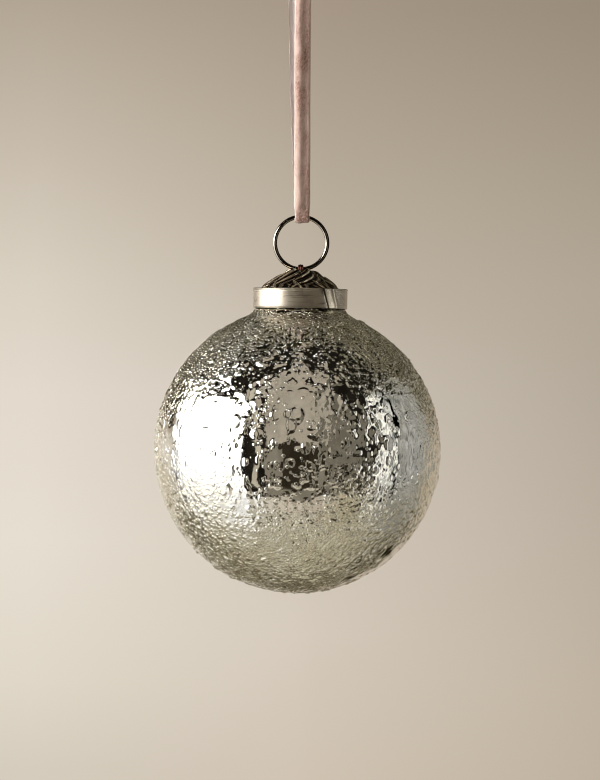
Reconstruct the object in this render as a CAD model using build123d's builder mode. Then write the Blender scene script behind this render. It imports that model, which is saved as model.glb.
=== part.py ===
from build123d import *

import os
from math import atan2, cos, pi, radians, sin, sqrt

# Glass ball ornament: a silvered blown-glass ball with a two-piece metal cap, hung on a velvet ribbon.
# Units are millimetres and +Z is up. The origin is the inside top of the ribbon's loop, under its knot, where
# a hook or a twig carries the ornament. The hanging ring's plane is XZ, and the front of the object faces -Y.

# ---------------------------------------------------------------- driving dimensions
ball_radius = 50.0
glass_wall = 1.5
neck_radius = 14.3  # outside
shoulder_radius = 9.0  # hollow blend from the ball into its neck
neck_rim_height = 55.1  # above the ball's centre, as every *_height below

collar_radius = 16.35  # outside
collar_sheet = 0.5
collar_bottom_height = 49.5
collar_top_height = 56.5
seam_angle_top = 29.5  # the lap seam, in degrees round from the front towards +X
seam_angle_bottom = 36.8
seam_depth = 0.25
seam_width_top = 1.0
seam_width_bottom = 0.35

crown_sheet_out = 0.25  # the sheet's inner face lies this much further in
crown_sheet_down = 0.5  # and this much lower than its outer face
crown_flange_height = 55.9
crown_outline = [  # outer face, as radius and height, from the flange's edge in to the wire hole
    (15.83, crown_flange_height),
    (13.9, crown_flange_height),
    (13.4, 57.3),
    (12.5, 58.3),
    (10.0, 59.7),
    (7.0, 61.1),
    (4.4, 62.2),
    (3.6, 62.3),
    (2.9, 62.1),
    (1.55, 61.2),
]

ring_radius = 9.15  # to the middle of its wire
ring_wire = 1.5  # diameter
ring_wire_height = 63.3  # the middle of the wire at the ring's lowest point

clip_wire = 0.9  # diameter
eye_clearance = 0.1  # between the clip's eye and the ring's wire
stem_half_gap = 0.5  # the two wires of the stem stand this far from the axis
eye_root_radius = 0.7  # the bend from the eye into the stem
leg_grip_clearance = 0.07  # between the sprung legs and the neck's bore

ribbon_width = 6.0
ribbon_thickness = 1.2
ring_drop = 90.0  # from the origin down to the middle of the ring's wire at its highest point
hook_radius = 4.0  # of the hook or twig that the loop is made for
bight_clearance = 0.1  # between the ribbon's inner face and the sides of the ring's wire

# ---------------------------------------------------------------- places that follow
ring_centre_z = -ring_drop - ring_radius
eye_z = ring_centre_z - ring_radius
ball_centre_z = eye_z - ring_wire_height

ball_plane = Plane(origin=(0, 0, ball_centre_z), x_dir=(1, 0, 0), z_dir=(0, -1, 0))
clip_plane = Plane(origin=(0, 0, eye_z), x_dir=(0, 1, 0), z_dir=(1, 0, 0))


def arc_middle(centre, radius, start, end):
    """The point of the arc round centre that lies half-way between the directions of two points."""
    a = atan2(start[1] - centre[1], start[0] - centre[0])
    b = atan2(end[1] - centre[1], end[0] - centre[0])
    if abs(b - a) > pi:
        b += 2 * pi if b < a else -2 * pi
    middle = (a + b) / 2
    return centre[0] + radius * cos(middle), centre[1] + radius * sin(middle)


def shell_face(inset):
    """The corner points and arc middles of one face of the glass, inset from the outside, bottom to neck."""
    ball = ball_radius - inset
    blend = shoulder_radius + inset
    neck = neck_radius - inset
    across = neck + blend
    centre = (across, sqrt((ball + blend) ** 2 - across**2))
    leaves_ball = (across * ball / (ball + blend), centre[1] * ball / (ball + blend))
    meets_neck = (neck, centre[1])
    bottom = (0.0, -ball)
    ball_middle = arc_middle((0.0, 0.0), ball, bottom, leaves_ball)
    blend_middle = arc_middle(centre, blend, leaves_ball, meets_neck)
    return bottom, ball_middle, leaves_ball, blend_middle, meets_neck


# ---------------------------------------------------------------- glass ball
out_bottom, out_side, out_leaves, out_blend, out_neck = shell_face(0.0)
in_bottom, in_side, in_leaves, in_blend, in_neck = shell_face(glass_wall)
lip_radius = glass_wall / 2
lip_z = neck_rim_height - lip_radius

with BuildPart() as glass_ball:
    with BuildSketch(ball_plane):
        with BuildLine():
            ThreePointArc(out_bottom, out_side, out_leaves)
            ThreePointArc(out_leaves, out_blend, out_neck)
            Line(out_neck, (neck_radius, lip_z))
            ThreePointArc(
                (neck_radius, lip_z),
                (neck_radius - lip_radius, neck_rim_height),
                (neck_radius - glass_wall, lip_z),
            )
            Line((neck_radius - glass_wall, lip_z), in_neck)
            ThreePointArc(in_neck, in_blend, in_leaves)
            ThreePointArc(in_leaves, in_side, in_bottom)
            Line(in_bottom, out_bottom)
        make_face()
    revolve(axis=Axis.Z)
glass_ball.part.label = "glass_ball"

# ---------------------------------------------------------------- cap: polished collar
collar_height = collar_top_height - collar_bottom_height
seam_reach = 2.0  # the seam's cutter starts this far outside the collar


def seam_plane(angle, height):
    """The level plane of the seam's cutter at one height, with its x axis pointing outwards."""
    outward = Vector(sin(radians(angle)), -cos(radians(angle)), 0)
    middle = outward * (collar_radius - seam_depth + seam_reach / 2)
    return Plane(origin=(middle.X, middle.Y, ball_centre_z + height), x_dir=outward, z_dir=(0, 0, 1))


with BuildPart() as cap_collar:
    with BuildSketch(ball_plane):
        with Locations((collar_radius - collar_sheet / 2, (collar_top_height + collar_bottom_height) / 2)):
            RectangleRounded(collar_sheet, collar_height, 0.2)
    revolve(axis=Axis.Z)
    for angle, height, width in (
        (seam_angle_bottom, collar_bottom_height - 0.1, seam_width_bottom),
        (seam_angle_top, collar_top_height + 0.1, seam_width_top),
    ):
        with BuildSketch(seam_plane(angle, height)):
            Rectangle(seam_reach, width)
    loft(mode=Mode.SUBTRACT)
cap_collar.part.label = "cap_collar"

# ---------------------------------------------------------------- cap: stamped crown
crown_inner = [(r - crown_sheet_out, h - crown_sheet_down) for r, h in crown_outline]
crown_inner[0] = (crown_outline[0][0], crown_flange_height - crown_sheet_down)

with BuildPart() as cap_crown:
    with BuildSketch(ball_plane):
        with BuildLine():
            Polyline(*crown_outline, *reversed(crown_inner), close=True)
        make_face()
    revolve(axis=Axis.Z)
cap_crown.part.label = "cap_crown"

# ---------------------------------------------------------------- hanging ring
with BuildPart() as hanging_ring:
    with BuildSketch(Plane.YZ):
        with Locations((0, ring_centre_z + ring_radius)):
            Circle(ring_wire / 2)
    revolve(axis=Axis((0, 0, ring_centre_z), (0, 1, 0)))
hanging_ring.part.label = "hanging_ring"

# ---------------------------------------------------------------- spring clip
# Its wire lies in the YZ plane: one leg up, the eye round the ring's wire, the other leg down.
eye_radius = ring_wire / 2 + eye_clearance + clip_wire / 2
root_across = stem_half_gap + eye_root_radius
root_down = sqrt((eye_radius + eye_root_radius) ** 2 - root_across**2)
eye_share = eye_radius / (eye_radius + eye_root_radius)
eye_end = (root_across * eye_share, -root_down * eye_share)
stem_top = (stem_half_gap, -root_down)
root_middle = arc_middle((root_across, -root_down), eye_root_radius, eye_end, stem_top)

leg_reach = neck_radius - glass_wall - leg_grip_clearance - clip_wire / 2
leg_points = [  # below the eye, as distance out from the axis and height above the eye
    stem_top,
    (stem_half_gap, -4.1),
    (leg_reach - 0.6, -11.0),
    (leg_reach, -19.0),
    (leg_reach - 3.2, -32.0),
]
leg_bends = [1.6, 2.2, 9.0]


def other_side(point):
    return -point[0], point[1]


with BuildPart() as spring_clip:
    with BuildLine(clip_plane) as clip_route:
        FilletPolyline(*reversed(leg_points), radius=leg_bends[::-1])
        ThreePointArc(stem_top, root_middle, eye_end)
        ThreePointArc(eye_end, (0, eye_radius), other_side(eye_end))
        ThreePointArc(other_side(eye_end), other_side(root_middle), other_side(stem_top))
        FilletPolyline(*[other_side(point) for point in leg_points], radius=leg_bends)
    with BuildSketch(Plane(origin=clip_route.line @ 0, z_dir=clip_route.line % 0)):
        Circle(clip_wire / 2)
    sweep()
spring_clip.part.label = "spring_clip"

# ---------------------------------------------------------------- velvet ribbon
# The route, as Y and Z: out of the knot, round one side of the hook, straight down to the ring, round its
# wire, and the same way back up behind. The ring's wire curves down towards the ribbon's edges.
strand_y = ring_wire / 2 + bight_clearance + ribbon_thickness / 2
wire_falls = ring_radius - sqrt(ring_radius**2 - (ribbon_width / 2) ** 2)
bight_z = -ring_drop - wire_falls - ring_wire / 2 - ribbon_thickness / 2 - 0.15
hook_side_y = hook_radius + ribbon_thickness / 2 + 0.05
front_points = [(-0.7, 4.4), (-hook_side_y, -1.6), (-strand_y, bight_z)]
ribbon_points = front_points + [other_side(point) for point in reversed(front_points)]
hook_bend = hook_radius + ribbon_thickness / 2
bight_bend = strand_y - 0.02
ribbon_bends = [hook_bend, bight_bend, bight_bend, hook_bend]
print("ribbon bends, mm:", ribbon_bends)

with BuildPart() as velvet_ribbon:
    with BuildLine(Plane.YZ) as ribbon_route:
        FilletPolyline(*ribbon_points, radius=ribbon_bends)
    with BuildSketch(Plane(origin=ribbon_route.line @ 0, x_dir=(1, 0, 0), z_dir=ribbon_route.line % 0)):
        Rectangle(ribbon_width, ribbon_thickness)
    sweep()
velvet_ribbon.part.label = "velvet_ribbon"
ribbon_length = ribbon_route.wire().length
section = ribbon_width * ribbon_thickness
print("ribbon route, mm:", round(ribbon_length, 1))
print("its volume over section times length:", round(velvet_ribbon.part.volume / (section * ribbon_length), 4))

# ---------------------------------------------------------------- ribbon knot and its two tails
# The hook bears on the knot's underside, at the origin.
knot_width, knot_depth, knot_height = 12.5, 9.6, 9.6
knot_round = 4.2
tail_points = [(1.6, knot_height - 2.0), (1.9, knot_height + 3.6), (9.2, knot_height + 1.6), (9.8, -4.5)]
tail_bends = [3.0, 3.4]

with BuildPart() as ribbon_knot:
    with Locations((0, 0, knot_height / 2)):
        Box(knot_width, knot_depth, knot_height)
    fillet(ribbon_knot.edges(), knot_round)
    for side in (1, -1):
        with BuildLine(Plane.YZ) as tail_route:
            FilletPolyline(*[(side * y, z) for y, z in tail_points], radius=tail_bends)
        with BuildSketch(Plane(origin=tail_route.line @ 0, x_dir=(1, 0, 0), z_dir=tail_route.line % 0)):
            Rectangle(ribbon_width, ribbon_thickness)
        sweep(path=tail_route.wire())
ribbon_knot.part.label = "ribbon_knot"

# ---------------------------------------------------------------- files
os.makedirs("parts", exist_ok=True)
export_step(glass_ball.part, "parts/glass_ball.step")
export_step(cap_collar.part, "parts/cap_collar.step")
export_step(cap_crown.part, "parts/cap_crown.step")
export_step(hanging_ring.part, "parts/hanging_ring.step")
export_step(spring_clip.part, "parts/spring_clip.step")
export_step(velvet_ribbon.part, "parts/velvet_ribbon.step")
export_step(ribbon_knot.part, "parts/ribbon_knot.step")
print("ring centre, eye and ball centre, z in mm:", ring_centre_z, eye_z, ball_centre_z)
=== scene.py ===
from math import cos, pi, radians, sin, sqrt

import bpy
import numpy as np
from mathutils import Matrix, Vector, noise


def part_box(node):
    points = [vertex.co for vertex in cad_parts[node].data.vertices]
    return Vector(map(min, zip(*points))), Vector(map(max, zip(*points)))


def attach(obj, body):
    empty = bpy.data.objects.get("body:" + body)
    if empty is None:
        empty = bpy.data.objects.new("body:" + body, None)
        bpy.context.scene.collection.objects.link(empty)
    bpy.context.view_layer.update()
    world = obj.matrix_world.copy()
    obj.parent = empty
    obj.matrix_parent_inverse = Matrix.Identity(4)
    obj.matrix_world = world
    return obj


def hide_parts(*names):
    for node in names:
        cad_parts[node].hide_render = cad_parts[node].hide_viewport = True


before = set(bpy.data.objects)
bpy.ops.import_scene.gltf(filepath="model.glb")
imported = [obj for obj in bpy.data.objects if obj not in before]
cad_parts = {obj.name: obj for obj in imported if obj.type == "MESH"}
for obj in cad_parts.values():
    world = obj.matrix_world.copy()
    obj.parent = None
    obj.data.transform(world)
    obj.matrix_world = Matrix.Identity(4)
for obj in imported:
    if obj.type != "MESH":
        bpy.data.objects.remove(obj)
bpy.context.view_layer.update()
MM = 0.001
rng = np.random.default_rng(7)

# Looks of the glass ball ornament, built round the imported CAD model, in metres with +Z up. Angles round the
# ornament are measured from its front, -Y, towards +X.

# -------------------- places, from the frame
ball_low, ball_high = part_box("glass_ball")
BALL_R = (ball_high.x - ball_low.x) / 2
BALL_Z = ball_low.z + BALL_R
collar_low, collar_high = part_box("cap_collar")
crown_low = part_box("cap_crown")[0]
ring_low, ring_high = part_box("hanging_ring")
RING_WIRE_R = ring_high.y
RING_Z = (ring_low.z + ring_high.z) / 2
RING_R = ring_high.x - RING_WIRE_R
knot_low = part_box("ribbon_knot")[0]

# the glass's other sizes, which its box doesn't hold
GLASS_WALL = 1.5 * MM
NECK_R = 14.3 * MM
SHOULDER_R = 9.0 * MM
LIP_R = GLASS_WALL / 2


# -------------------- mesh helpers
def new_object(name, points, faces):
    """A smooth-shaded mesh object from its points in metres, in a list or a grid, and its faces."""
    mesh = bpy.data.meshes.new(name)
    mesh.from_pydata(np.asarray(points, float).reshape(-1, 3).tolist(), [], faces)
    mesh.polygons.foreach_set("use_smooth", np.ones(len(mesh.polygons), bool))
    mesh.update()
    obj = bpy.data.objects.new(name, mesh)
    bpy.context.scene.collection.objects.link(obj)
    return obj


def grid_faces(rows, columns, close_rows=False, close_columns=True, start=0):
    """Quads of a grid of points, row by row, with its rows or columns joined into loops."""
    i, j = np.meshgrid(
        np.arange(rows if close_rows else rows - 1),
        np.arange(columns if close_columns else columns - 1),
        indexing="ij",
    )
    below, beside = (i + 1) % rows, (j + 1) % columns
    quads = [i * columns + j, i * columns + beside, below * columns + beside, below * columns + j]
    return (np.stack(quads, -1).reshape(-1, 4) + start).tolist()


def full_turn(count):
    """Angles that part a whole turn into this many equal steps."""
    return np.linspace(0, 2 * pi, count, endpoint=False)


def closed_faces(rows, columns, start=0):
    """Quads of such a grid with its columns joined into loops, and one face over each of its two ends."""
    first = [start + k for k in range(columns)]
    last = [(rows - 1) * columns + k for k in first]
    return grid_faces(rows, columns, start=start) + [first[::-1], last]


def unit(vectors):
    """Vectors brought to a length of 1."""
    return vectors / np.linalg.norm(vectors, axis=-1, keepdims=True)


def line_directions(line):
    """The unit vectors along a line of points, and those across it that are nearest to X."""
    along = unit(np.gradient(line, axis=0))
    side = np.tile([1.0, 0.0, 0.0], (len(line), 1))
    return along, unit(side - (side * along).sum(1)[:, None] * along)


def rounded(line, times=3):
    """Take the corners off a line of points, and keep its ends."""
    for _ in range(times):
        line[1:-1] = (line[:-2] + 2 * line[1:-1] + line[2:]) / 4
    return line


def spun(profile, columns):
    """A grid of places or directions: (radius, height) pairs turned round Z, from the front towards +X."""
    turn = full_turn(columns)
    around = np.stack([np.sin(turn), -np.cos(turn)], 1)
    rise = np.repeat(profile[:, 1:][:, None], columns, axis=1)
    return np.concatenate([profile[:, None, :1] * around[None], rise], axis=2)


def outward(profile):
    """The directions square to a profile of (radius, height) pairs, on its right as it runs."""
    along = unit(np.gradient(profile, axis=0))
    return np.stack([along[:, 1], -along[:, 0]], 1)


def direction(azimuth, elevation):
    """X, Y and Z of the unit direction this many degrees round from the front, and up."""
    a, e = radians(azimuth), radians(elevation)
    return sin(a) * cos(e), -cos(a) * cos(e), sin(e)


def set_attribute(obj, name, values):
    """A number for each point of a mesh, which its material reads by name."""
    layer = obj.data.attributes.new(name, "FLOAT", "POINT")
    layer.data.foreach_set("value", np.asarray(values, np.float32).ravel())


def smooth(x, low, high):
    """0 below low and 1 above high, with a smooth step between."""
    t = np.clip((x - low) / (high - low), 0, 1)
    return t * t * (3 - 2 * t)


def waves(points, size, seed, octaves=1):
    """Smooth random values, about -1 to 1, at a grid of points in metres, in lumps of about this size."""
    shift = Vector((seed * 7.1, seed * 3.3, seed * 5.7))
    values = np.zeros(points.shape[:-1])
    for octave in range(octaves):
        step = 2.0**octave
        scaled = points.reshape(-1, 3) * (step / size)
        found = np.array([noise.noise(Vector(p) + shift) for p in scaled.tolist()])
        values += found.reshape(values.shape) / step
    return values


# -------------------- material helpers
def new_material(name):
    material = bpy.data.materials.new(name)
    material.use_nodes = True
    tree = material.node_tree
    return material, tree, tree.nodes["Principled BSDF"]


def feed(shader, name, value):
    """Link an output to a shader's socket."""
    shader.id_data.links.new(value, shader.inputs[name])


def position(tree):
    return tree.nodes.new("ShaderNodeTexCoord").outputs["Object"]


def attribute(tree, name):
    node = tree.nodes.new("ShaderNodeAttribute")
    node.attribute_name = name
    return node.outputs["Fac"]


def noise_value(tree, where, scale, detail=3.0, roughness=0.55):
    node = tree.nodes.new("ShaderNodeTexNoise")
    node.inputs["Scale"].default_value = scale
    node.inputs["Detail"].default_value = detail
    node.inputs["Roughness"].default_value = roughness
    tree.links.new(where, node.inputs["Vector"])
    return node.outputs["Fac"]


def dots(tree, where, scale, reach):
    """Round drops, one in each cell: 1 at the middle of each and 0 between them."""
    node = tree.nodes.new("ShaderNodeTexVoronoi")
    node.feature = "F1"
    node.inputs["Scale"].default_value = scale
    tree.links.new(where, node.inputs["Vector"])
    share = maths(tree, "MULTIPLY", node.outputs["Distance"], 1 / reach)
    left = maths(tree, "SUBTRACT", 1.0, maths(tree, "MULTIPLY", share, share))
    return maths(tree, "SQRT", maths(tree, "MAXIMUM", left, 0.0), 0.0)


def stretched(tree, where, x, y, z):
    node = tree.nodes.new("ShaderNodeMapping")
    node.inputs["Scale"].default_value = (x, y, z)
    tree.links.new(where, node.inputs["Vector"])
    return node.outputs["Vector"]


def axis_of(tree, where, name):
    node = tree.nodes.new("ShaderNodeSeparateXYZ")
    tree.links.new(where, node.inputs[0])
    return node.outputs[name]


def ramp(tree, value, stops):
    """A colour ramp through (place, colour) stops."""
    node = tree.nodes.new("ShaderNodeValToRGB")
    elements = node.color_ramp.elements
    while len(elements) < len(stops):
        elements.new(0.5)
    for element, (place, colour) in zip(elements, stops):
        element.position = place
        element.color = (*colour, 1.0)
    tree.links.new(value, node.inputs["Fac"])
    return node.outputs["Color"]


def level(tree, value, start, end, low=0.0, high=1.0, soft=False):
    """value moved from the range start..end to low..high, and held there beyond its ends."""
    node = tree.nodes.new("ShaderNodeMapRange")
    if soft:
        node.interpolation_type = "SMOOTHSTEP"
    for name, number in (("From Min", start), ("From Max", end), ("To Min", low), ("To Max", high)):
        node.inputs[name].default_value = number
    tree.links.new(value, node.inputs["Value"])
    return node.outputs["Result"]


def maths(tree, operation, a, b):
    node = tree.nodes.new("ShaderNodeMath")
    node.operation = operation
    for socket, value in zip(node.inputs, (a, b)):
        if isinstance(value, (int, float)):
            socket.default_value = value
        else:
            tree.links.new(value, socket)
    return node.outputs[0]


def mix_colour(tree, factor, a, b, blend="MIX"):
    """a where factor is 0 and b where it is 1. Each is a colour or an output."""
    node = tree.nodes.new("ShaderNodeMix")
    node.data_type = "RGBA"
    node.blend_type = blend
    if isinstance(factor, (int, float)):
        node.inputs["Factor"].default_value = factor
    else:
        tree.links.new(factor, node.inputs["Factor"])
    for socket, value in ((node.inputs[6], a), (node.inputs[7], b)):
        if isinstance(value, tuple):
            socket.default_value = (*value, 1.0)
        else:
            tree.links.new(value, socket)
    return node.outputs[2]


def bump(tree, height, distance, strength=1.0, normal=None):
    node = tree.nodes.new("ShaderNodeBump")
    node.inputs["Strength"].default_value = strength
    node.inputs["Distance"].default_value = distance
    tree.links.new(height, node.inputs["Height"])
    if normal is not None:
        tree.links.new(normal, node.inputs["Normal"])
    return node.outputs["Normal"]


def screen(red, green, blue):
    """A colour as it looks on a screen, 0 to 255, as the linear colour that a shader takes."""
    return tuple(((c / 255 + 0.055) / 1.055) ** 2.4 if c > 10 else c / 3295 for c in (red, green, blue))


# -------------------- camera
CAMERA_DISTANCE = 2.0
VIEW_HEIGHT = 273.0 * MM  # of what the camera sees at the ball
CAMERA_ROLL = radians(-1.0)  # the ornament leans this much to the right in the view

camera_data = bpy.data.cameras.new("camera")
camera_data.sensor_width = 36.0
camera_data.lens = camera_data.sensor_width * CAMERA_DISTANCE / VIEW_HEIGHT
camera_data.clip_end = 50.0
camera = bpy.data.objects.new("camera", camera_data)
bpy.context.scene.collection.objects.link(camera)
camera.location = (0.5 * MM, -CAMERA_DISTANCE, BALL_Z + 21.0 * MM)
camera.rotation_euler = (radians(90), CAMERA_ROLL, 0)
bpy.context.scene.camera = camera
bpy.context.scene.view_settings.view_transform = "Standard"
bpy.context.scene.cycles.filter_width = 1.0

# -------------------- velvet ribbon
RIBBON_WIDTH = 5.6 * MM
RIBBON_THICK = 1.15 * MM
RIBBON_EDGE = 0.4 * MM  # thickness at its woven edges
RIBBON_BOW = 0.35 * MM  # how far its section bows over its width
RIBBON_FOLD = 0.30 * MM  # depth of its long soft fold
RIBBON_COLUMNS = 22
# X, Y and Z in millimetres: out of the knot, round the hook's front, down to the ring, round its wire and
# back up behind. The two strands drift to the left on their way up, the back one more.
RIBBON_ROUTE = [
    (-1.0, -0.7, 4.4), (-1.0, -4.65, -1.6), (-0.9, -4.4, -8.8), (-0.6, -3.45, -36.0),
    (-0.3, -2.7, -56.0), (0.2, -1.5, -88.8), (0.2, -1.4, -91.7), (0.2, 1.4, -91.7),
    (0.2, 1.5, -88.8), (-1.5, 2.7, -56.0), (-2.4, 3.45, -36.0), (-3.2, 4.4, -8.8),
    (-3.2, 4.65, -1.6), (-1.6, 0.7, 4.4),
]


def route_points(name, route, steps=20):
    """The points along a smooth NURBS line with these control points, in millimetres, as metres."""
    curve = bpy.data.curves.new(name, "CURVE")
    curve.dimensions = "3D"
    spline = curve.splines.new("NURBS")
    spline.points.add(len(route) - 1)
    for point, place in zip(spline.points, route):
        point.co = (*(c * MM for c in place), 1.0)
    spline.order_u = 3
    spline.use_endpoint_u = True
    spline.resolution_u = steps
    holder = bpy.data.objects.new(name, curve)
    mesh = bpy.data.meshes.new_from_object(holder)
    points = np.array([v.co for v in mesh.vertices], float)
    bpy.data.meshes.remove(mesh)
    bpy.data.objects.remove(holder)
    return points


def lengths_along(line):
    """How far along a line of points each of them is."""
    return np.concatenate([[0], np.cumsum(np.linalg.norm(np.diff(line, axis=0), axis=1))])


def ribbon_grid(line, wire_z=None, cut=0.0, seed=1.0):
    """Rows of points round a flat ribbon whose width lies along X, with its pile on the outer face."""
    along, side = line_directions(line)
    out = np.cross(along, side)
    u = np.linspace(-1, 1, RIBBON_COLUMNS)
    u = np.sign(u) * np.abs(u) ** 0.8
    run = lengths_along(line)
    half = RIBBON_WIDTH / 2 * (1 + 0.025 * waves(np.stack([run, run * 0, run * 0], 1), 11 * MM, seed))
    cup = np.zeros(len(line))
    if wire_z is not None:  # it narrows and cups where it goes round the ring's wire
        cup = np.exp(-(((line[:, 2] - wire_z) / (3.0 * MM)) ** 2))
        half = half * (1 - 0.09 * cup)
    x = half[:, None] * u[None, :]
    dome = (1 - np.abs(u) ** 2.6) ** 0.7
    spots = np.stack([x, run[:, None] + 0 * x, np.full_like(x, seed)], 2)
    pile = (waves(spots, 2.6 * MM, seed) * 0.09 + waves(spots, 0.9 * MM, seed + 2) * 0.07) * MM
    # its section is bowed, with one long soft fold that wanders
    fold = waves(np.stack([run, run * 0 + 1, run * 0], 1), 14 * MM, seed + 5)[:, None]
    curl = RIBBON_BOW * u**2 - RIBBON_FOLD * np.cos(3.9 * (u[None, :] + 0.42 + 0.25 * fold))
    curl = curl * (1 - cup[:, None])
    fall = (RING_R - np.sqrt(RING_R**2 - x**2)) * cup[:, None]
    top = RIBBON_EDGE + (RIBBON_THICK - RIBBON_EDGE) * dome - RIBBON_THICK / 2 + pile * dome - curl
    base = np.full_like(x, -RIBBON_THICK / 2) - curl
    top, base = top + fall * 0.9, base + fall * 0.9
    reach = cut * smooth(run, run[-1] - 2 * RIBBON_WIDTH, run[-1])[:, None] * (u[None, :] + 1) / 2
    centre = line[:, None] - along[:, None] * reach[..., None] + side[:, None] * x[..., None]
    upper = centre + out[:, None] * top[..., None]
    lower = centre + out[:, None] * base[..., None]
    return np.concatenate([upper, lower[:, ::-1]], axis=1), np.concatenate([np.abs(u), np.abs(u[::-1])])


def closed_strip(grids):
    """Points, faces, edge and backing values of ribbons with their two ends closed."""
    points, faces, edges, backs, start = [], [], [], [], 0
    for grid, edge in grids:
        rows, columns = grid.shape[:2]
        points.append(grid.reshape(-1, 3))
        faces += [face[::-1] for face in closed_faces(rows, columns, start)]
        edges.append(np.tile(edge, rows))
        half = columns // 2
        backs.append(np.tile(np.concatenate([np.zeros(half), np.ones(half)]), rows))
        start += rows * columns
    return np.concatenate(points), faces, np.concatenate(edges), np.concatenate(backs)


def velvet():
    """Dusty pink velvet: a pile that lightens at a glance, a paler back, and paler woven edges, partly a
    painted highlight.
    """
    material, tree, shader = new_material("velvet_pile")
    where = position(tree)
    nap = noise_value(tree, stretched(tree, where, 1.0, 1.0, 0.7), 1500.0, 4.0, 0.75)
    crush = noise_value(tree, stretched(tree, where, 1.0, 1.0, 0.45), 230.0, 3.0)
    dark = ramp(tree, nap, [(0.34, screen(116, 83, 72)), (0.66, screen(200, 167, 154))])
    pile = mix_colour(tree, level(tree, crush, 0.38, 0.66), dark, screen(203, 177, 166))
    # the woven edges' paler colour is partly their own and partly a painted highlight, for the light their
    # curved edges catch
    woven = mix_colour(tree, level(tree, attribute(tree, "edge"), 0.86, 0.97), pile, screen(226, 208, 196))
    colour = mix_colour(tree, attribute(tree, "backing"), woven, screen(240, 229, 227))
    feed(shader, "Base Color", colour)
    rough = level(tree, crush, 0.3, 0.7, 0.85, 1.0)
    feed(shader, "Roughness", rough)
    shader.inputs["Specular IOR Level"].default_value = 0.15
    shader.inputs["Sheen Weight"].default_value = 1.0
    shader.inputs["Sheen Roughness"].default_value = 0.35
    shader.inputs["Sheen Tint"].default_value = (1.0, 0.93, 0.88, 1.0)
    feed(shader, "Normal", bump(tree, nap, 0.22 * MM, 0.8))
    return material


velvet_material = velvet()


def velvet_piece(name, points, faces, edges, backs):
    """A piece of velvet, which knows how near a woven edge each point is, and which points are its back."""
    obj = new_object(name, points, faces)
    set_attribute(obj, "edge", edges)
    set_attribute(obj, "backing", backs)
    obj.data.materials.append(velvet_material)
    return obj


ribbon_line = route_points("ribbon_route", RIBBON_ROUTE)
ribbon_parts = closed_strip([ribbon_grid(ribbon_line, wire_z=RING_Z + RING_R)])
ribbon = velvet_piece("velvet_ribbon_loop", *ribbon_parts)
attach(ribbon, "ribbon")
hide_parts("velvet_ribbon")

# the knot above the hook: bands drawn tight round one another, and two tails that fold over and hang
KNOT_MIDDLE = Vector((-1.2 * MM, 0.0, 4.9 * MM))
FRONT_TAIL = [  # millimetres
    (-1.0, -1.6, 7.6), (-0.8, -1.9, 12.4), (-0.2, -5.4, 12.9), (0.6, -9.4, 10.6), (1.4, -9.9, 4.0),
    (2.0, -9.5, -4.4),
]
BACK_TAIL = [
    (-1.4, 1.6, 7.6), (-1.8, 1.9, 12.2), (-2.6, 5.4, 12.6), (-3.4, 9.2, 10.4), (-3.9, 9.8, 3.0),
    (-4.2, 9.6, -4.2),
]
KNOT_BANDS = [  # degrees about Y and X, then millimetres: long way, short way, width and lift
    (24, 8, 4.9, 3.3, 5.8, -0.4),
    (-38, -10, 4.2, 2.7, 5.4, 0.5),
    (74, 0, 3.9, 2.3, 5.0, 0.0),
]
BAND_ROWS, BAND_COLUMNS = 90, 18


def wrapped_band(about_y, about_x, sizes, seed):
    """A band of ribbon round the knot, its middle line a tilted oval, as a grid like a ribbon's."""
    turn = Matrix.Rotation(radians(about_y), 4, "Y") @ Matrix.Rotation(radians(about_x), 4, "X")
    long_way, short_way, width, lift = (size * MM for size in sizes)
    angles = full_turn(BAND_ROWS)
    swell = 1 + 0.05 * np.sin(3 * angles + seed) + 0.04 * np.sin(5 * angles + 2 * seed)
    line = np.stack([long_way * swell * np.cos(angles), short_way * swell * np.sin(angles), 0 * angles], 1)
    line[:, 2] = lift + 0.6 * MM * np.sin(2 * angles + seed)
    out = unit(np.stack([np.cos(angles) / long_way, np.sin(angles) / short_way, 0 * angles], 1))
    u = np.linspace(-1, 1, BAND_COLUMNS)
    dome = (1 - np.abs(u) ** 3.0) ** 0.7
    v = u * width / 2 * (1 + 0.08 * np.sin(2 * angles + 3 * seed))[:, None]
    spots = np.stack([angles[:, None] + 0 * v, v / MM * 0.25, np.full_like(v, seed)], 2)
    pile = waves(spots * MM, 0.25 * MM, seed) * 0.12 * MM
    height = (RIBBON_EDGE + (RIBBON_THICK * 1.15 - RIBBON_EDGE) * dome)[None, :] + pile
    inward = 1.5 * MM * np.abs(u[None, :]) ** 2.2
    centre = line[:, None] + np.array([0, 0, 1.0]) * v[..., None]
    upper = centre + out[:, None] * (height - inward)[..., None]
    lower = centre + out[:, None] * (-inward - 0.3 * MM)[..., None]
    grid = np.concatenate([upper, lower[:, ::-1]], axis=1)
    grid = grid @ np.array(turn.to_3x3()).T + np.array(KNOT_MIDDLE)
    return grid, np.concatenate([np.abs(u), np.abs(u[::-1])])


tails = []
for seed, route in ((4.0, FRONT_TAIL), (5.0, BACK_TAIL)):
    tails.append(ribbon_grid(route_points("tail_route", route, 16), cut=2.6 * MM, seed=seed))
points, faces, edges, backs = closed_strip(tails)
for seed, (about_y, about_x, *sizes) in enumerate(KNOT_BANDS, 1):
    grid, edge = wrapped_band(about_y, about_x, sizes, float(seed))
    rows, columns = grid.shape[:2]
    faces += [face[::-1] for face in grid_faces(rows, columns, close_rows=True, start=len(points))]
    points = np.concatenate([points, grid.reshape(-1, 3)])
    edges = np.concatenate([edges, np.tile(edge, rows)])
    backs = np.concatenate([backs, np.tile(np.repeat([0.0, 1.0], columns // 2), rows)])
points[:, 2] = np.maximum(points[:, 2], knot_low.z + 0.1 * MM)
knot = velvet_piece("velvet_knot", points, faces, edges, backs)
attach(knot, "ribbon")
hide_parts("ribbon_knot")

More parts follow.
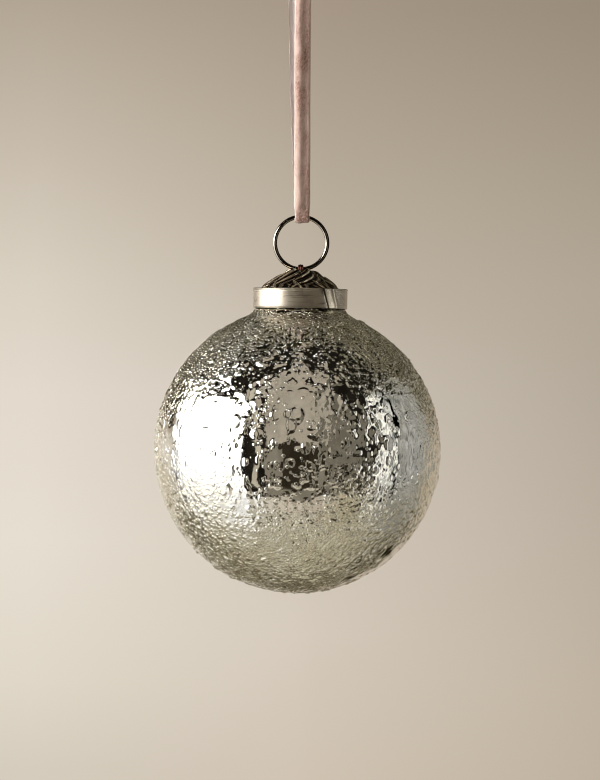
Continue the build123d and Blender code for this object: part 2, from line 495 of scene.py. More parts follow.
# -------------------- glass ball
COLUMNS = 800
OUTER_STEP, INNER_STEP, LIP_STEP = 0.40 * MM, 3.2 * MM, 0.3 * MM
SHOULDER_RIPPLE = 2.2  # how much deeper the ripples run round the ball's shoulder
CELL = 1.3 * MM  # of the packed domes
PACKED_TALL = 0.10


def arc(centre, radius, start, end, step):
    """Points of an arc, as radius and height, at angles in radians."""
    count = max(3, int(abs(end - start) * radius / step))
    angles = np.linspace(start, end, count)
    return np.stack([centre[0] + radius * np.cos(angles), centre[1] + radius * np.sin(angles)], 1)


def glass_face(inset, step):
    """One face of the glass from its bottom to its neck, as radius and height above the ball's centre."""
    ball, blend, neck = BALL_R - inset, SHOULDER_R + inset, NECK_R - inset
    across = neck + blend
    up = sqrt((ball + blend) ** 2 - across**2)
    meet = np.arctan2(up, across)
    sphere = arc((0, 0), ball, -pi / 2, meet, step)
    shoulder = arc((across, up), blend, pi + meet, pi, step)
    return np.concatenate([sphere, shoulder[1:]])


outer = glass_face(0.0, OUTER_STEP)
inner = glass_face(GLASS_WALL, INNER_STEP)[::-1]
rim = ball_high.z - BALL_Z - LIP_R
lip = arc((NECK_R - LIP_R, rim), LIP_R, 0.0, pi, LIP_STEP)
profile = np.concatenate([outer, [[NECK_R, (outer[-1, 1] + rim) / 2]], lip, inner])
profile = profile[(profile[:, 0] > 0.05 * MM) | (np.abs(profile[:, 1]) < 0.9 * BALL_R)]
grid = spun(profile, COLUMNS)
n_outer = len(outer) - 1  # rows of the pebbled face
skin = grid[:n_outer]
normal = spun(outward(profile)[:n_outer], COLUMNS)

# the pebbled face: slow swells and runs, a few wide lenses, and fused seeds that crowd together outside a
# few smoother patches
heights = skin[:, 0, 2]
ROW_SKIP, COLUMN_SKIP = 6, 8
coarse = skin[::ROW_SKIP, ::COLUMN_SKIP]
SMOOTH_PATCHES = [  # degrees: round from the front, up, and how far each reaches
    (-13, 4, 41), (-52, 2, 22), (41, 6, 27), (4, 34, 27), (112, -8, 30), (-118, 20, 26),
    (178, -4, 36), (62, -52, 18),
]


def spread(values):
    """Coarse values on the ball's grid, brought to every point of its skin."""
    rows = np.linspace(0, values.shape[0] - 1, n_outer)
    columns = np.arange(COLUMNS) / COLUMN_SKIP
    r0 = np.minimum(rows.astype(int), values.shape[0] - 2)
    c0 = columns.astype(int) % values.shape[1]
    c1 = (c0 + 1) % values.shape[1]
    fr, fc = (rows - r0)[:, None], (columns - columns.astype(int))[None]
    fr, fc = fr * fr * (3 - 2 * fr), fc * fc * (3 - 2 * fc)
    top = values[r0][:, c0] * (1 - fc) + values[r0][:, c1] * fc
    low = values[r0 + 1][:, c0] * (1 - fc) + values[r0 + 1][:, c1] * fc
    return top * (1 - fr) + low * fr


def crowding(points):
    """How close the seeds stand at points on the ball: 0 amid a smooth patch and 1 away from them all."""
    directions = unit(points)
    share = np.ones(points.shape[:-1])
    for turned, raised_by, reach in SMOOTH_PATCHES:
        middle = np.array(direction(turned, raised_by))
        off = np.degrees(np.arccos(np.clip(directions @ middle, -1, 1)))
        share *= smooth(off, reach * 0.45, reach * 1.25)
    return share


crowd = np.clip(crowding(skin) + 0.45 * spread(waves(coarse, 15 * MM, 3.0)), 0, 1)
swell = spread(waves(coarse, 15 * MM, 1.0))
ripple = spread(waves(coarse * [1.0, 1.0, 1.5], 6 * MM, 2.0))
runs = spread(waves(coarse * [1.0, 1.0, 0.45], 4.2 * MM, 6.0))
crumb = waves(skin, 1.9 * MM, 8.0)
ball_shoulder = smooth(heights, 20 * MM, 28 * MM) * (1 - smooth(heights, 36 * MM, 43 * MM))
ripple *= (1 + SHOULDER_RIPPLE * ball_shoulder)[:, None]
relief = (0.08 * swell + (0.05 + 0.05 * crowd) * ripple + 0.07 * runs + (0.01 + 0.05 * crowd) * crumb) * MM


def scattered(count, sparse):
    """Random directions from the ball's middle, by the share sparse as many in its smooth patches."""
    z = rng.uniform(-1, 0.955, count)
    angle = rng.uniform(0, 2 * pi, count)
    places = np.stack([np.sqrt(1 - z**2) * np.sin(angle), -np.sqrt(1 - z**2) * np.cos(angle), z], 1)
    return places[rng.random(count) < sparse + (1 - sparse) * crowding(places)]


def clustered(count, turned, raised_by, reach):
    """Directions from the ball's middle that gather about one place, in degrees."""
    a = np.radians(rng.normal(turned, reach, count))
    e = np.radians(rng.normal(raised_by, reach * 0.8, count))
    return np.stack([np.sin(a) * np.cos(e), -np.cos(a) * np.cos(e), np.sin(e)], 1)


def add_seeds(places, sizes, flat=1.0):
    """Raise a round drop on the skin in each of these directions, a dome or, with more flat, a low disc.

    The sizes are its least and most radius and its least and most height, in millimetres.
    """
    radius_low, radius_high, tall_low, tall_high = (size * MM for size in sizes)
    z, angle = places[:, 2], np.arctan2(places[:, 0], -places[:, 1]) % (2 * pi)
    places = places * BALL_R
    count = len(places)
    crowded = crowding(places)
    radii = radius_low + (radius_high - radius_low) * rng.random(count) ** 1.6
    talls = (tall_low + (tall_high - tall_low) * rng.random(count)) * radii / radius_high
    talls = talls * (0.8 + 0.2 * crowded)
    stretch = rng.uniform(0.75, 1.3, count)
    for k in range(count):
        across = BALL_R * sqrt(1 - z[k] ** 2)
        reach = radii[k] * max(stretch[k], 1 / stretch[k])
        slope = max(sqrt(1 - z[k] ** 2), 0.05)
        rows = np.nonzero(np.abs(heights - places[k, 2]) < reach * slope + 0.25 * MM)[0]
        span = int(min(COLUMNS // 2, reach * 1.2 / max(across, 0.3 * MM) / (2 * pi) * COLUMNS + 2))
        columns = (int(angle[k] / (2 * pi) * COLUMNS) + np.arange(-span, span + 1)) % COLUMNS
        away = skin[np.ix_(rows, columns)] - places[k]
        beside = away[..., 0] * cos(angle[k]) + away[..., 1] * sin(angle[k])
        above = np.maximum((away**2).sum(-1) - beside**2, 0)
        share = ((beside / stretch[k]) ** 2 + above * stretch[k] ** 2) / radii[k] ** 2
        relief[np.ix_(rows, columns)] += np.clip(1 - share**flat, 0, 1) ** 0.62 * talls[k]


SMALL_CLUSTERS = [  # how many seeds, then degrees: round from the front, up, and their spread
    (46, 5, -7, 6), (40, 25, -12, 7), (90, 10, 39, 13), (60, -28, 36, 11), (30, 14, 12, 7),
    (34, 30, 10, 8), (60, -128, 2, 13), (50, 150, 24, 11), (60, 84, 30, 12), (160, -4, -46, 22),
    (90, 34, -40, 16), (120, -165, -40, 24),
]
LARGE_CLUSTERS = [
    (16, 29, 32, 7), (26, 2, 37, 13), (12, 6, 5, 5), (14, 20, 14, 8), (12, -19, 12, 7),
    (14, -24, 30, 9), (9, 8, 33, 8), (7, -8, -13, 7), (14, 36, 4, 8), (12, 120, 20, 14),
    (12, -150, -8, 14), (10, 160, 10, 14),
]
lenses = scattered(260, 1.0)
add_seeds(lenses[crowding(lenses) < 0.6], (1.5, 2.9, 0.26, 0.40), 2.2)
add_seeds(scattered(420, 0.7), (1.0, 1.9, 0.18, 0.34), 1.8)
add_seeds(scattered(2600, 0.22), (0.6, 1.0, 0.20, 0.34))
add_seeds(scattered(7500, 0.12), (0.42, 0.62, 0.18, 0.28))
for cluster in SMALL_CLUSTERS:
    add_seeds(clustered(*cluster), (0.55, 0.95, 0.24, 0.36))
for cluster in LARGE_CLUSTERS:
    add_seeds(clustered(*cluster), (1.0, 2.1, 0.30, 0.44), 2.2)
# and low domes packed side by side wherever the seeds crowd
packed = np.array([noise.voronoi(Vector(p))[0][0] for p in (skin.reshape(-1, 3) / CELL).tolist()])
packed = np.sqrt(np.clip(1 - (packed / 0.60) ** 2, 0, 1)).reshape(relief.shape)
relief += crowd * PACKED_TALL * packed * MM

fade = 1 - smooth(heights, 49.6 * MM, 51.0 * MM)[:, None]  # smooth under the cap
relief = (relief - relief.mean()) * fade
grid[:n_outer] = skin + normal * relief[..., None]
grid[..., 2] += BALL_Z
rows = len(grid)
faces = closed_faces(rows, COLUMNS)
ball = new_object("silvered_ball", grid, faces)
crowded = np.zeros((rows, COLUMNS))
crowded[:n_outer] = crowd * fade
set_attribute(ball, "crowd", crowded)
slots = np.zeros(len(faces), np.int32)  # the mirror outside, and the film's back from the lip inwards
slots[(n_outer + 8) * COLUMNS : -2] = 1
slots[-1] = 1
ball.data.polygons.foreach_set("material_index", slots)


def mirror_glass():
    """Pebbled glass, silvered within: a bright, slightly warm mirror with a clear skin and fine seeds."""
    material, tree, shader = new_material("silvered_glass")
    where = position(tree)
    bloom = noise_value(tree, where, 90.0, 4.0, 0.6)
    fine = noise_value(tree, where, 1300.0, 2.0)
    crowded = attribute(tree, "crowd")
    silver = ramp(tree, bloom, [(0.35, (0.84, 0.82, 0.75)), (0.6, (0.90, 0.89, 0.85))])
    warm = ramp(tree, bloom, [(0.35, (0.74, 0.70, 0.57)), (0.6, (0.85, 0.82, 0.71))])
    silver = mix_colour(tree, level(tree, crowded, 0.2, 1.0), silver, warm)
    specks = level(tree, noise_value(tree, where, 420.0, 3.0, 0.65), 0.70, 0.76)
    colour = mix_colour(tree, maths(tree, "MULTIPLY", specks, 0.75), silver, (0.13, 0.10, 0.06))
    feed(shader, "Base Color", colour)
    shader.inputs["Metallic"].default_value = 1.0
    feed(shader, "Roughness", level(tree, bloom, 0.35, 0.7, 0.07, 0.02))
    shader.inputs["Coat Weight"].default_value = 0.6
    shader.inputs["Coat Roughness"].default_value = 0.04
    shader.inputs["Coat IOR"].default_value = 1.5
    wide_share = level(tree, crowded, 0.0, 1.0, 0.5, 1.0)
    wide_seeds = maths(tree, "MULTIPLY", dots(tree, where, 400.0, 0.24), wide_share)
    small_seeds = maths(tree, "MULTIPLY", dots(tree, where, 860.0, 0.42), crowded)
    normal = bump(tree, wide_seeds, 0.26 * MM, 1.0)
    normal = bump(tree, small_seeds, 0.22 * MM, 1.0, normal)
    feed(shader, "Normal", bump(tree, fine, 0.012 * MM, 0.3, normal))
    return material


def silver_film():
    """The film's own back, inside the ball: dull, with thin patches."""
    material, tree, shader = new_material("silver_film_back")
    where = position(tree)
    patches = noise_value(tree, where, 160.0, 5.0, 0.6)
    colour = ramp(tree, patches, [(0.35, (0.20, 0.18, 0.14)), (0.65, (0.52, 0.50, 0.44))])
    feed(shader, "Base Color", colour)
    shader.inputs["Metallic"].default_value = 0.8
    feed(shader, "Roughness", level(tree, patches, 0.3, 0.7, 0.35, 0.6))
    feed(shader, "Normal", bump(tree, patches, 0.1 * MM, 0.4))
    return material


ball.data.materials.append(mirror_glass())
ball.data.materials.append(silver_film())
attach(ball, "ball")
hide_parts("glass_ball")

# -------------------- cap: collar
COLLAR_R = collar_high.x + 0.15 * MM
COLLAR_SHEET = 0.42 * MM
SEAM_TOP, SEAM_BOTTOM = radians(27.5), radians(35.5)
OVERLAP = radians(9)
LAP_LIFT = 0.48 * MM  # how far the outer end stands off at the seam
CREASE_TALL = 0.24 * MM  # of the crease that the end beneath pushes up


def collar_section(tall):
    """The band's section as (out, up): out from its face and up from its bottom."""
    roll = 0.32 * MM  # radius of the rolled bead along its top
    outer_face = [(0.0, h) for h in np.linspace(0.35 * MM, tall - 2 * roll - 0.2 * MM, 14)]
    outer_face[0] = (-0.02 * MM, 0.22 * MM)
    bead_angles = np.linspace(radians(-70), radians(180), 12)
    bead = [(-roll * 0.55 + roll * cos(t), tall - roll + roll * sin(t)) for t in bead_angles]
    inner_face = [(-COLLAR_SHEET, h) for h in (tall - 2 * roll, tall / 2, 0.2 * MM)]
    foot = [(-COLLAR_SHEET * 0.7, 0.03 * MM), (-COLLAR_SHEET * 0.3, 0.0)]
    return np.array(outer_face + bead + inner_face + foot)


tall = collar_high.z - collar_low.z
section = collar_section(tall)
# the strip runs from its outer end at the seam, round the cap, and on under that end
span = np.concatenate([np.linspace(0, radians(2), 6)[:-1], np.linspace(radians(2), 2 * pi + OVERLAP, 420)])


def near_lap(start, end):
    """0 until start degrees before the strip comes round to its outer end, 1 from end degrees before it."""
    return smooth(span, 2 * pi - radians(start), 2 * pi - radians(end))


angle = (SEAM_BOTTOM + (SEAM_TOP - SEAM_BOTTOM) * section[:, 1] / tall)[None, :] - span[:, None]
lift = LAP_LIFT * (1 - smooth(span, radians(1), radians(34)))[:, None] + 0.02 * MM
dents = 0.012 * MM * np.sin(5 * span + 0.6)[:, None] + 0.006 * MM * np.sin(11 * span + 2.0)[:, None]
crease = CREASE_TALL * np.exp(-(((2 * pi - radians(15.5) - span) / radians(2.8)) ** 2))[:, None]
round_end = -0.12 * MM * (1 - smooth(span, 0.0, radians(1.2)))[:, None]
tuck = -0.06 * MM * near_lap(20, 2)[:, None]
radius = COLLAR_R + section[:, 0][None, :] + lift + dents + crease + round_end + tuck
height = collar_low.z + section[:, 1][None, :] + 0.03 * MM * np.sin(3 * span + 1.0)[:, None]
points = np.stack([radius * np.sin(angle), -radius * np.cos(angle), height], 2)
rows, columns = points.shape[:2]
collar = new_object("cap_collar_band", points, closed_faces(rows, columns))
# Painted shade at the seam: the strip where it runs under the lapped end and that end's cut edge are painted
# dark, and so is a notch at the seam's top, where the gap shows dark. A band to the right of the seam, past
# the crease, is also made darker.
under = near_lap(4.2, 1.8) + 1 - smooth(span, radians(0.3), radians(1.1))
right_band_darkening = 0.30 * near_lap(44, 16) * (1 - 0.5 * near_lap(13, 9))
notch_rise = smooth(section[:, 1], tall * 0.55, tall * 0.8)[None, :]
notch_shade = np.exp(-((span / radians(3.4)) ** 2))[:, None] * notch_rise
set_attribute(collar, "grime_and_painted_shade", np.clip((under + right_band_darkening)[:, None] + notch_shade, 0, 1))


def nickel(name, tint, rough, brushed, dark_spots, edge=(1.0, 1.0, 1.0)):
    """Worn polished metal: fine lines drawn out by brushed, faint stains, dark pits, and painted shade from
    its mesh.
    """
    material, tree, shader = new_material(name)
    where = position(tree)
    stain = noise_value(tree, where, 260.0, 4.0, 0.6)
    lines = noise_value(tree, stretched(tree, where, *brushed), 900.0, 3.0, 0.6)
    dull = tuple(c * 0.62 for c in tint)
    colour = mix_colour(tree, level(tree, stain, 0.52, 0.78), tint, dull)
    pits = level(tree, noise_value(tree, where, 1500.0, 2.0), 0.66, 0.74)
    # painted shade: where the mesh carries it, as at the collar's seam, the metal is painted near black, like
    # its real pits
    grime_and_painted_shade = maths(tree, "MAXIMUM", maths(tree, "MULTIPLY", pits, dark_spots), attribute(tree, "grime_and_painted_shade"))
    colour = mix_colour(tree, grime_and_painted_shade, colour, (0.03, 0.025, 0.015))
    feed(shader, "Base Color", colour)
    shader.inputs["Metallic"].default_value = 1.0
    shader.inputs["Specular Tint"].default_value = (*edge, 1.0)
    feed(shader, "Roughness", level(tree, lines, 0.3, 0.75, rough * 0.7, rough * 1.6))
    feed(shader, "Normal", bump(tree, lines, 0.006 * MM, 0.3))
    return material


collar_metal = nickel("collar_nickel", (0.46, 0.41, 0.335), 0.32, (0.12, 0.12, 5.0), 0.4)
collar.data.materials.append(collar_metal)
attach(collar, "cap")
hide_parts("cap_collar")

# -------------------- cap: crown
CROWN_BASE = crown_low.z + 0.5 * MM  # the flange's upper face
CROWN = [  # millimetres: out from the axis and up from the flange, from the flange's edge in to the hole
    (15.8, 0.0), (14.6, 0.02), (13.9, 0.1), (13.4, 0.55), (12.7, 1.1), (11.6, 1.75), (10.0, 2.7),
    (8.3, 3.75), (6.6, 4.85), (5.2, 5.85), (4.4, 6.4), (3.7, 6.6), (3.0, 6.3), (2.4, 5.7),
    (1.95, 5.3), (1.6, 5.0),
]
CROWN_ROWS, CROWN_COLUMNS = 104, 420
CROWN_SHEET = 0.40 * MM
crown_line = np.array(CROWN) * MM
run = lengths_along(crown_line)
steps = np.linspace(0, run[-1], CROWN_ROWS)
crown_line = rounded(np.stack([np.interp(steps, run, values) for values in crown_line.T], 1))
turn = full_turn(CROWN_COLUMNS)
r_mm = crown_line[:, 0:1] / MM


def leaf_tier(count, shift, root, tip, tall, twist):
    """Heights of a ring of leaves, as pointed, swept domes with long flutes, root inwards.

    The root and tip are millimetres from the axis, tall is the leaves' height, and twist their sweep.
    """
    q = (r_mm - root) / (tip - root)
    a = (turn[None, :] + (twist[0] + twist[1] * np.cos(turn)[None, :]) * q) * count / (2 * pi) + shift
    which = np.floor(a + 0.5)
    a = a - which
    vary = 1 + 0.12 * np.sin(which * 2.4 + shift * 9)
    inside = (q > 0) & (q < 1)
    qc = np.clip(q, 0.001, 0.999)
    wide = np.maximum(0.47 * np.sin(pi * qc**0.75) ** 0.65 * vary, 0.02)
    e = np.abs(a) / wide
    dome = np.sqrt(np.clip(1 - e**2.2, 0, 1)) * np.sin(pi * qc**0.8) ** 0.5
    midrib = np.exp(-((a / 0.05) ** 2)) * 0.7
    flutes = 0.34 * np.cos(2 * pi * 1.1 * (a / wide + 0.25 * qc))
    height = tall * dome * (0.62 + midrib * 0.5 + flutes)
    rim = np.exp(-(((e - 0.9) / 0.12) ** 2)) * 0.5 * tall
    return np.where(inside & (e < 1.15), np.maximum(height, rim * (qc < 0.97)), 0.0)


tiers = leaf_tier(7, 0.1, 5.4, 13.9, 1.05 * MM, (0.2, 0.9))
tiers = np.maximum(tiers, leaf_tier(9, 0.4, 9.0, 14.1, 0.8 * MM, (-0.1, -0.3)))
tiers = np.maximum(tiers, leaf_tier(6, 0.15, 2.7, 10.2, 1.2 * MM, (0.3, 0.9)))
beads = 0.28 * MM * np.exp(-(((r_mm - 3.5) / 0.42) ** 2)) * (0.6 + 0.4 * np.cos(16 * turn)[None, :])
border = 0.24 * MM * np.exp(-(((r_mm - 14.1) / 0.28) ** 2)) * (0.75 + 0.25 * np.cos(64 * turn)[None, :])
crown_grid = spun(crown_line, CROWN_COLUMNS)
crown_normal = spun(outward(crown_line), CROWN_COLUMNS)
rough_cast = waves(crown_grid[:, ::2], 1.3 * MM, 5.0, 2) * 0.02 * MM
rough_cast = np.repeat(rough_cast, 2, axis=1) * smooth(14.8 - r_mm, 0, 1.2)
raised = tiers + beads + border + rough_cast - 0.12 * MM * smooth(14.6 - r_mm, 0, 1.0)
# the leaves make room for the ring, which hangs in the XZ plane
wire_room = smooth(np.abs(crown_grid[..., 1]) / MM, 1.0, 2.2) + smooth(np.abs(r_mm), 7.0, 8.0)
raised = np.where(raised > 0, raised * np.clip(wire_room, 0, 1), raised)
upper = crown_grid + crown_normal * raised[..., None]
ring_reach = RING_R + RING_WIRE_R
off_axis = upper[..., 0] ** 2 + upper[..., 1] ** 2
ring_under = RING_Z - np.sqrt(np.maximum(ring_reach**2 - off_axis, 0)) - CROWN_BASE
upper[..., 2] = np.minimum(upper[..., 2], ring_under - 0.2 * MM)  # clear of the ring all the way round
lower = crown_grid - crown_normal * CROWN_SHEET + crown_normal * np.minimum(raised, 0)[..., None]
lower[..., 2] = np.maximum(lower[..., 2], -0.45 * MM)
both = np.concatenate([upper, lower[::-1]])
both[..., 2] += CROWN_BASE
crown_faces = grid_faces(len(both), CROWN_COLUMNS, close_rows=True)
crown = new_object("cap_crown_stamped", both, crown_faces)
# how far each spot stands over what is round it, for the rubbing of its high edges
around_it = raised
for _ in range(7):
    around_it = (around_it + np.roll(around_it, 3, 1) + np.roll(around_it, -3, 1)) / 3
    around_it[1:-1] = (around_it[:-2] + around_it[1:-1] + around_it[2:]) / 3
high = np.clip(0.34 + (raised - around_it) / (0.36 * MM) + 0.12 * raised / MM, 0, 1)
set_attribute(crown, "high", np.concatenate([high, high[::-1] * 0]))


def antiqued():
    """Stamped metal darkened in its hollows and rubbed bright on its high edges."""
    material, tree, shader = new_material("crown_antiqued")
    where = position(tree)
    grime_and_painted_shade = noise_value(tree, where, 700.0, 4.0, 0.65)
    rub = maths(tree, "ADD", attribute(tree, "high"), level(tree, grime_and_painted_shade, 0.3, 0.7, -0.12, 0.12))
    hollow, worn, bright = (0.012, 0.009, 0.006), (0.13, 0.088, 0.054), (0.68, 0.59, 0.45)
    colour = ramp(tree, rub, [(0.14, hollow), (0.45, worn), (0.90, bright)])
    feed(shader, "Base Color", colour)
    shader.inputs["Metallic"].default_value = 1.0
    feed(shader, "Roughness", level(tree, rub, 0.1, 0.9, 0.42, 0.22))
    feed(shader, "Normal", bump(tree, grime_and_painted_shade, 0.01 * MM, 0.3))
    return material


crown.data.materials.append(antiqued())
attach(crown, "cap")
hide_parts("cap_crown")

# -------------------- hanging ring
JOINT = radians(176)  # the wire's ends meet here, under the ribbon
RING_SIDES = 28
near_joint = JOINT + radians(1) * np.linspace(-1, 1, 8)
turn = np.unique(np.concatenate([full_turn(180), near_joint]))
wire = full_turn(RING_SIDES)
groove = 1 - 0.22 * np.exp(-(((turn - JOINT) / radians(0.28)) ** 2))
thick = RING_WIRE_R * groove[:, None] * np.ones(len(wire))
out = RING_R + thick * np.cos(wire)
x, z = out * np.sin(turn)[:, None], RING_Z - out * np.cos(turn)[:, None]
points = np.stack([x, thick * np.sin(wire), z], 2)
ring = new_object("hanging_ring_wire", points, grid_faces(len(turn), RING_SIDES, close_rows=True))
ring_metal = nickel("ring_nickel", (0.45, 0.41, 0.35), 0.13, (1.0, 1.0, 1.0), 0.3, (0.2, 0.17, 0.13))
ring.data.materials.append(ring_metal)
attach(ring, "ring")
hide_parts("hanging_ring")

# -------------------- spring clip
CLIP_WIRE_R = 0.36 * MM
EYE_R = RING_WIRE_R + 0.14 * MM + CLIP_WIRE_R
eye_z = RING_Z - RING_R
EYE_POINTS = 126
CLIP_SIDES = 14
LEG = [  # millimetres: out from the axis and up from the ring's wire, down one leg to its tip
    (0.62, -1.7), (0.55, -3.0), (0.7, -4.6), (6.0, -7.4), (11.2, -10.4), (12.1, -15.0),
    (12.3, -20.0), (10.9, -26.0), (9.1, -32.0),
]
leg = route_points("clip_leg", [(0.0, y, z) for y, z in LEG], 10)
leg_up = leg[::-1]
leg_down = leg * [1, -1, 1]
coil = np.linspace(radians(-40), radians(940), EYE_POINTS)
eye_r = EYE_R + 0.10 * MM * np.cos(np.linspace(-0.5 * pi, 0.5 * pi, EYE_POINTS)) ** 2
eye_x = 0.74 * MM * np.linspace(-1, 1, EYE_POINTS)
eye = np.stack([eye_x, eye_r * np.cos(coil), eye_r * np.sin(coil)], 1)
leg_up[:, 0] = eye[0, 0] * smooth(leg_up[:, 2], -6.0 * MM, -2.0 * MM)
leg_down[:, 0] = eye[-1, 0] * smooth(leg_down[:, 2], -6.0 * MM, -2.0 * MM)
clip_line = rounded(np.concatenate([leg_up, eye, leg_down]) + [0, 0, eye_z])
along, side = line_directions(clip_line)
third = np.cross(along, side)
wire = full_turn(CLIP_SIDES)
ends = np.ones(len(clip_line))
ends[[0, -1]] = 0.6  # its cut ends are a little rounded
spokes = side[:, None] * np.cos(wire)[:, None] + third[:, None] * np.sin(wire)[:, None]
points = clip_line[:, None] + CLIP_WIRE_R * ends[:, None, None] * spokes
faces = closed_faces(len(points), CLIP_SIDES)
clip = new_object("spring_clip_wire", points, faces)
clip.data.materials.append(nickel("clip_dulled_wire", (0.09, 0.04, 0.03), 0.34, (1.0, 1.0, 1.0), 0.7))
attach(clip, "clip")
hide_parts("spring_clip")

# -------------------- studio
BALL_MIDDLE = Vector((0, 0, BALL_Z))
ROOM_R = 3.6
ROOM_COLUMNS = 96
FLOOR_Z = -1.6


def glow(name):
    """A material that gives light, and its tree and emission."""
    material = bpy.data.materials.new(name)
    material.use_nodes = True
    tree = material.node_tree
    tree.nodes.clear()
    emission = tree.nodes.new("ShaderNodeEmission")
    output = tree.nodes.new("ShaderNodeOutputMaterial")
    tree.links.new(emission.outputs[0], output.inputs["Surface"])
    return material, tree, emission


# a pale floor that curves up into a wall all round, which glows with painted light: brighter on the left and
# low down, and dimmer higher up
bend = arc((ROOM_R - 1.0, FLOOR_Z + 1.0), 1.0, -pi / 2, 0.0, 0.12)
upright = [[ROOM_R, 0.4], [ROOM_R, 1.6], [ROOM_R, 3.4]]
wall = np.concatenate([[[0.02, FLOOR_Z], [1.2, FLOOR_Z]], bend, upright])
faces = [face[::-1] for face in grid_faces(len(wall), ROOM_COLUMNS)]
faces.append(list(range(ROOM_COLUMNS)))
room = new_object("studio_floor_and_wall", spun(wall, ROOM_COLUMNS), faces)
room_material, tree, emission = glow("studio_pale")
where = position(tree)
seen_x, seen_z = axis_of(tree, where, "X"), axis_of(tree, where, "Z")
up = level(tree, seen_z, -0.55, 0.25)
WALL_TONES = {  # share of the way up, and the colour there as it looks on a screen
    "left": [
        (0.03, 213, 204, 189), (0.14, 224, 215, 200), (0.31, 230, 222, 209), (0.49, 227, 217, 205),
        (0.63, 217, 208, 193), (0.83, 195, 183, 167), (0.97, 178, 165, 148),
    ],
    "middle": [
        (0.03, 208, 195, 179), (0.2, 213, 202, 187), (0.49, 206, 196, 182), (0.63, 192, 180, 164),
        (0.83, 177, 164, 146), (0.97, 166, 151, 134),
    ],
    "right": [
        (0.03, 191, 178, 160), (0.14, 192, 179, 162), (0.31, 188, 176, 161), (0.49, 181, 170, 155),
        (0.63, 178, 167, 150), (0.83, 164, 151, 134), (0.97, 153, 140, 123),
    ],
}
sides = {}
for part, stops in WALL_TONES.items():
    sides[part] = ramp(tree, up, [(place, screen(*tone)) for place, *tone in stops])
colour = mix_colour(tree, level(tree, seen_x, -0.26, 0.02), sides["left"], sides["middle"])
colour = mix_colour(tree, level(tree, seen_x, 0.0, 0.30), colour, sides["right"])
feed(emission, "Color", colour)
feed(emission, "Strength", level(tree, seen_z, 0.35, 2.2, 1.0, 0.55))
room.data.materials.append(room_material)


def off_camera(obj):
    """Leave a piece of the studio to reflections and light alone."""
    obj.visible_camera = False
    return obj


def card(name, azimuth, elevation, distance, left, right, low, high):
    """A flat card square to the line from the ball at these degrees, its edges in metres from that line."""
    corners = [(left, low, 0), (right, low, 0), (right, high, 0), (left, high, 0)]
    obj = new_object(name, corners, [[0, 1, 2, 3]])
    away = Vector(direction(azimuth, elevation))
    obj.location = BALL_MIDDLE + away * distance
    obj.rotation_mode = "QUATERNION"
    obj.rotation_quaternion = (-away).to_track_quat("Z", "Y")
    return off_camera(obj)


def plain_glow(obj, colour, strength, mottle=0.0):
    """One colour all over, or mottled down by a share of itself."""
    material, tree, emission = glow(obj.name)
    emission.inputs["Strength"].default_value = strength
    tone = noise_value(tree, position(tree), 3.0, 2.0)
    dim = tuple(c * (1 - mottle) for c in colour)
    feed(emission, "Color", ramp(tree, tone, [(0.35, dim), (0.65, colour)]))
    obj.data.materials.append(material)


# the dark side of the studio, part of a sphere in front of the ornament and above it
DARK_R = 1.95
DARK_ROWS, DARK_COLUMNS = 24, 40
dark_angles = np.linspace(radians(-112), radians(104), DARK_COLUMNS)
dark_rise = np.linspace(radians(-32), radians(88), DARK_ROWS)
e, a = np.meshgrid(dark_rise, dark_angles, indexing="ij")
directions = np.stack([np.sin(a) * np.cos(e), -np.cos(a) * np.cos(e), np.sin(e)], 2)
points = directions * DARK_R + np.array(BALL_MIDDLE)
faces = grid_faces(DARK_ROWS, DARK_COLUMNS, close_columns=False)
dark = off_camera(new_object("studio_dark_side", points, faces))
plain_glow(dark, (0.016, 0.013, 0.010), 1.0, 0.5)

# a large soft light on the left, falling off towards the back and down
softbox = card("softbox_left", -62, 0, 0.8, -0.245, 1.30, -1.0, 0.54)
material, tree, emission = glow("softbox_left")
where = position(tree)
shine = level(tree, axis_of(tree, where, "X"), 1.3, 0.60, 0.6, 8.0, soft=True)
up = axis_of(tree, where, "Y")
lower_glow = level(tree, up, -0.70, -0.06, 0.11, 0.22)
upper_glow = level(tree, up, -0.06, 0.16, 0.0, 0.78, soft=True)
shine = maths(tree, "MULTIPLY", shine, maths(tree, "ADD", lower_glow, upper_glow))
feed(emission, "Strength", shine)
emission.inputs["Color"].default_value = (1.0, 0.985, 0.96, 1.0)
softbox.data.materials.append(material)

# a dimmer, streaky one on the right
fill = card("softbox_right", 88, 0, 0.9, -0.8, 0.36, -0.85, 0.62)
material, tree, emission = glow("softbox_right")
where = position(tree)
shine = level(tree, axis_of(tree, where, "X"), 0.0, 0.24, 0.40, 1.15, soft=True)
rise = level(tree, axis_of(tree, where, "Y"), -0.8, -0.2, 0.75, 1.0, soft=True)
shine = maths(tree, "MULTIPLY", shine, rise)
streaks = noise_value(tree, stretched(tree, where, 2.2, 1.0, 1.0), 9.0, 2.0)
shine = maths(tree, "MULTIPLY", shine, level(tree, streaks, 0.42, 0.58, 0.45, 1.25))
feed(emission, "Strength", shine)
emission.inputs["Color"].default_value = (1.0, 0.98, 0.91, 1.0)
fill.data.materials.append(material)
shielded = bpy.data.collections.new("shielded_from_right")  # a flag keeps this light off the ring
shielded.objects.link(ring)
shielded.collection_objects[0].light_linking.link_state = "EXCLUDE"
fill.light_linking.receiver_collection = shielded

slit = card("slit_light_right", 87, 0, 0.85, -0.035, 0.035, -0.5, 0.5)
plain_glow(slit, (1.0, 0.97, 0.90), 7.0)
for_the_cap = bpy.data.collections.new("slit_light_takers")  # and this one is set for the collar alone
for_the_cap.objects.link(collar)
slit.light_linking.receiver_collection = for_the_cap

STRIP_ROWS = 24


